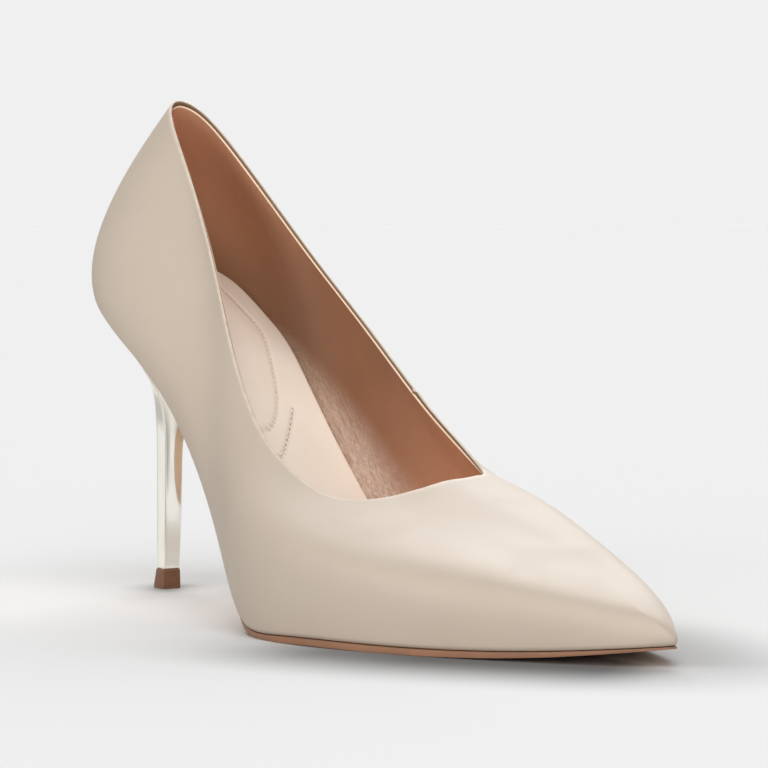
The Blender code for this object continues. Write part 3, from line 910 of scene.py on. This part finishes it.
def heelOutline(backX, frontX, half, squareness, corner):
    angles = np.linspace(math.pi / 2, -math.pi / 2, heel["points"])
    along = np.abs(np.cos(angles)) ** (2 / squareness)
    across = np.copysign(np.abs(np.sin(angles)) ** (2 / squareness), -np.sin(angles))
    back = np.column_stack([frontX - corner + (backX - frontX + corner) * along, half * across])
    turn = np.linspace(0, math.pi / 2, heel["cornerPoints"])[1:-1]
    bend = [(frontX - corner + corner * math.sin(a), half - corner + corner * math.cos(a)) for a in turn]
    face = [(frontX, y) for y in np.linspace(half - corner, -half + corner, heel["face"])]
    other = [(px, -py) for px, py in reversed(bend)]
    return np.concatenate([back, bend, face, other])


def plateMaterial():
    material, _, grain, handled, color = startFinish("heelPlate", heel, "plate")
    smudge, dust = (handled["Smudge"], heel["smudgeDull"]), (handled["Dust"], heel["dustDull"])
    return endFinish(material, heel, color, grain["Tone"], smudge, dust)


def makeHeel():
    table = np.array(heel["rings"])
    place = np.arange(len(table))
    at = np.linspace(0, place[-1], heel["steps"])
    values = np.column_stack([naturalSpline(place, column, at) for column in table.T])
    seats = smoothStep(heel["seatFrom"], place[-1], at)
    rings = []
    for seat, (backX, backZ, frontX, frontZ, half, squareness) in zip(seats, values):
        plan = heelOutline(backX, frontX, half, squareness, heel["corner"])
        z = backZ + (frontZ - backZ) * (plan[:, 0] - backX) / (frontX - backX)
        z = z * (1 - seat) + (bottomHeight(plan[:, 0]) - last["gap"]) * seat
        grown = smoothStep(*heel["hollowFrom"], frontZ) * (1 - smoothStep(*heel["hollowTo"], frontZ))
        face = plan[:, 0] > frontX - 1e-6
        plan[face, 0] -= heel["hollow"] * grown * (1 - (plan[face, 1] / (half - heel["corner"])) ** 2)
        rings.append(np.column_stack([plan, z]))
    rings = np.array(rings)
    makePiece("heel_plated", rings, ringFaces(*rings.shape[:2]), plateMaterial(), "heel")


makeHeel()

# brown block under the heel
topPiece = {
    "height": 5.6, "ground": (20.9, 27.4, 2.87), "top": (22.5, 27.4, 2.7),  # back x, front x, half width
    "squareness": 9.0, "corner": 0.3, "edge": 0.28, "edgePoints": 4, "levels": 14, "rim": (0.6, 0.5),
    "brown": (0.19, 0.082, 0.037), "brownDeep": (0.155, 0.066, 0.03), "rubbed": (0.26, 0.14, 0.083),
    "plain": {"Specular IOR Level": 0.4}, "grain": {"Pores": 2600.0, "Creases": 1700.0, "Drift": 240.0},
    "handled": {"Smudge": 220.0, "Dust": 3600.0}, "rub": {"Breakup": 1400.0, "Amount": 0.55},
    "gloss": 0.42, "smudgeDull": 0.16, "bump": (0.0001, 0.5),
}


def blockMaterial():
    material, tree, grain, handled, color = startFinish("topPieceBrown", topPiece, "brown")
    rub = useGroup(tree, rubGroup, Edge=markOf(tree, "rim"), **topPiece["rub"])
    color = mixColor(tree, rub["Mask"], color, topPiece["rubbed"])
    return endFinish(material, topPiece, color, grain["Height"], (handled["Smudge"], topPiece["smudgeDull"]))


def makeTopPiece():
    edge, height = topPiece["edge"], topPiece["height"]
    turn = np.linspace(0, math.pi / 2, topPiece["edgePoints"])
    levels = [(edge - edge * math.sin(a), edge - edge * math.cos(a)) for a in turn]
    levels += [(0.0, z) for z in np.linspace(edge, height - edge, topPiece["levels"])[1:]]
    levels += [(edge - edge * math.cos(a), height - edge + edge * math.sin(a)) for a in turn[1:]]
    ground, top = np.array(topPiece["ground"]), np.array(topPiece["top"])
    shape = topPiece["squareness"], topPiece["corner"]
    rimLow, rimHigh = topPiece["rim"]
    rings, rim = [], []
    for inset, z in levels:
        backX, frontX, half = ground * (1 - z / height) + top * (z / height)
        plan = heelOutline(backX + inset, frontX - inset, half - inset, *shape)
        rings.append(np.column_stack([plan, np.full(len(plan), z)]))
        rim.append(np.full(len(plan), 1.0 if z < rimLow or z > height - rimHigh else 0.0))
    rings = np.array(rings)
    makePiece("top_piece_block", rings, ringFaces(*rings.shape[:2]), blockMaterial(),
              "top_piece", {"rim": np.array(rim)})


makeTopPiece()

# floor, light and camera
studio = {
    "background": 0.871, "sky": 0.1, "mirror": (0.871, 0.95),
    "dark": (0.13, 0.12, 0.10), "sideDark": 0.6, "endDark": 0.45,  # dim ends of the room, seen in the plate
    "sideAim": (0.68, 0.98), "endAim": (0.92, 1.0), "dimReach": (20.0, 160.0),
    "floor": (0.787, 0.787, 0.787), "floorDrop": 0.00002,
    "floorNear": (0.26, 151), "floorFar": (0.4, 12.0, 12),  # reach in metres and number of lines
    "shade": [  # share of the way from the outer ball round the toe to the inner ball, darkness there
        (0.0, 0.0), (0.06, 0.15), (0.13, 0.68), (0.2, 0.8), (0.36, 0.78), (0.45, 0.45), (0.51, 0.25),
        (0.6, 0.4), (0.85, 0.45), (1.0, 0.0),
    ],
    "shadeRows": (6.2, -5.8), "shadePoints": 120, "shadeReach": 50.0, "blockShade": 0.35, "blockReach": 16.0,
    "lampAngle": 45.0,
    "lamps": [  # name, direction it comes from, power
        ("back", (-0.63, 0.44, 0.64), 1.75), ("front", (0.79, -0.55, 0.27), 0.95),
        ("above", (0.45, -0.3, 0.84), 1.2), ("toe", (0.75, 0.1, 0.65), 0.55),
        ("side", (0.1, -0.95, 0.3), 0.88), ("inner", (-0.25, 0.92, 0.3), 0.5),
    ],
}
blockMiddle = np.array([np.mean(topPiece["ground"][:2]), 0.0])


def floorShade(points):  # soft contact shadow beside the forefoot and round the brown block
    path = edgeLoop(np.linspace(*studio["shadeRows"], studio["shadePoints"]))[0][:, :2]
    away, where = pathDistance(points, path)
    shade = np.interp(where, *zip(*studio["shade"])) * (1 - smoothStep(0.0, studio["shadeReach"], away))
    fromBlock = np.linalg.norm(points - blockMiddle, axis=1)
    return np.maximum(shade, studio["blockShade"] * (1 - smoothStep(0.0, studio["blockReach"], fromBlock)))


def floorMirrorShade(points):  # painted reflection: how much darker the floor is painted, for the plate to mirror, towards the dim ends of the room
    fromBlock = points - blockMiddle
    reach = np.linalg.norm(fromBlock, axis=1)
    aim = np.abs(fromBlock) / np.maximum(reach, 1e-6)[:, None]
    sides = studio["sideDark"] * smoothStep(*studio["sideAim"], aim[:, 1])
    ends = studio["endDark"] * smoothStep(*studio["endAim"], aim[:, 0])
    return np.maximum(sides, ends) * smoothStep(*studio["dimReach"], reach)


def floorMaterial():
    material, tree, shader = newMaterial("floorPaper", {"Specular IOR Level": 0.0})
    noise = setInput(node(tree, "ShaderNodeTexNoise"), Scale=900.0, Detail=3.0)
    tree.links.new(node(tree, "ShaderNodeTexCoord").outputs["Object"], noise.inputs["Vector"])
    tree.links.new(mapRange(tree, noise.outputs["Fac"], 0.2, 0.8, 0.9, 1.0), shader.inputs["Roughness"])
    rays = node(tree, "ShaderNodeLightPath").outputs  # light bounced off the floor stays even
    seen = math2(tree, "MULTIPLY", markOf(tree, "shade"), rays["Is Camera Ray"])
    color = mixColor(tree, seen, studio["floor"], (0.0, 0.0, 0.0))
    # painted reflection: glossy rays see the floor darkened towards the sides and ends
    mirrorDim = math2(tree, "MULTIPLY", markOf(tree, "mirrorShade"), rays["Is Glossy Ray"])
    tree.links.new(mixColor(tree, mirrorDim, color, studio["dark"]), shader.inputs["Base Color"])
    return material


def makeFloor():
    mesh = bpy.data.meshes.new("floor")
    near, count = studio["floorNear"]
    far = np.linspace(*studio["floorFar"])
    line = np.concatenate([-far[::-1], np.linspace(-near, near, count), far])
    points = np.array([(x, y, -studio["floorDrop"]) for x in line for y in line])
    faces = gridFaces(len(line), len(line), False, True)
    mesh.from_pydata(points.tolist(), [], [tuple(f) for f in faces.tolist()])
    own = points[:, :2] / mm + [originX, originY]
    addMarks(mesh, {"shade": floorShade(own), "mirrorShade": floorMirrorShade(own)})
    mesh.materials.append(floorMaterial())
    floor = bpy.data.objects.new("floor", mesh)
    bpy.context.scene.collection.objects.link(floor)


def makeWorld():  # even backdrop for the camera, and a brighter room with dim ends for the plate to mirror
    world = bpy.data.worlds.new("studio")
    bpy.context.scene.world = world
    world.use_nodes = True
    tree = world.node_tree
    parts = node(tree, "ShaderNodeSeparateXYZ")
    tree.links.new(node(tree, "ShaderNodeTexCoord").outputs["Generated"], parts.inputs[0])
    height = mapRange(tree, parts.outputs["Z"], 0.0, 1.0)
    rays = node(tree, "ShaderNodeLightPath").outputs
    low, high = studio["mirror"]
    dims = []
    for axis, aim, dark in (("Y", "sideAim", "sideDark"), ("X", "endAim", "endDark")):
        along = math2(tree, "ABSOLUTE", parts.outputs[axis])
        dims.append(mapRange(tree, along, *studio[aim], 0.0, studio[dark]))
    mirror = mixColor(tree, height, (low,) * 3, (high,) * 3)
    mirror = mixColor(tree, math2(tree, "MAXIMUM", *dims), mirror, studio["dark"])
    color = mixColor(tree, rays["Is Glossy Ray"], (studio["sky"],) * 3, mirror)
    color = mixColor(tree, rays["Is Camera Ray"], color, (studio["background"],) * 3)
    tree.links.new(color, tree.nodes["Background"].inputs["Color"])


def makeLamps():
    for name, source, power in studio["lamps"]:
        sun = bpy.data.lights.new(name, "SUN")
        sun.energy = power
        sun.angle = math.radians(studio["lampAngle"])
        lamp = bpy.data.objects.new(name, sun)
        lamp.rotation_mode = "QUATERNION"
        lamp.rotation_quaternion = Vector(source).to_track_quat("Z", "Y")
        bpy.context.scene.collection.objects.link(lamp)


view = {
    "place": (868.06, -485.99, 110.6),  # in the shoe's own sizes
    "azimuth": 56.4, "elevation": 3.08, "lens": 160.0, "sensor": 36.0, "clip": (0.01, 100.0),
}


def makeCamera():
    data = bpy.data.cameras.new("camera")
    data.lens, data.sensor_width = view["lens"], view["sensor"]
    data.clip_start, data.clip_end = view["clip"]
    camera = bpy.data.objects.new("camera", data)
    a, e = math.radians(view["azimuth"]), math.radians(view["elevation"])
    back = Vector((math.sin(a) * math.cos(e), -math.cos(a) * math.cos(e), math.sin(e)))
    x, y, z = view["place"]
    camera.location = ((x - originX) * mm, (y - originY) * mm, z * mm)
    camera.rotation_mode = "QUATERNION"
    camera.rotation_quaternion = (-back).to_track_quat("-Z", "Y")
    bpy.context.scene.collection.objects.link(camera)
    bpy.context.scene.camera = camera


makeFloor()
makeWorld()
makeLamps()
makeCamera()
bpy.context.scene.view_settings.view_transform = "Standard"
print("studio ready")

print("pump dressed")
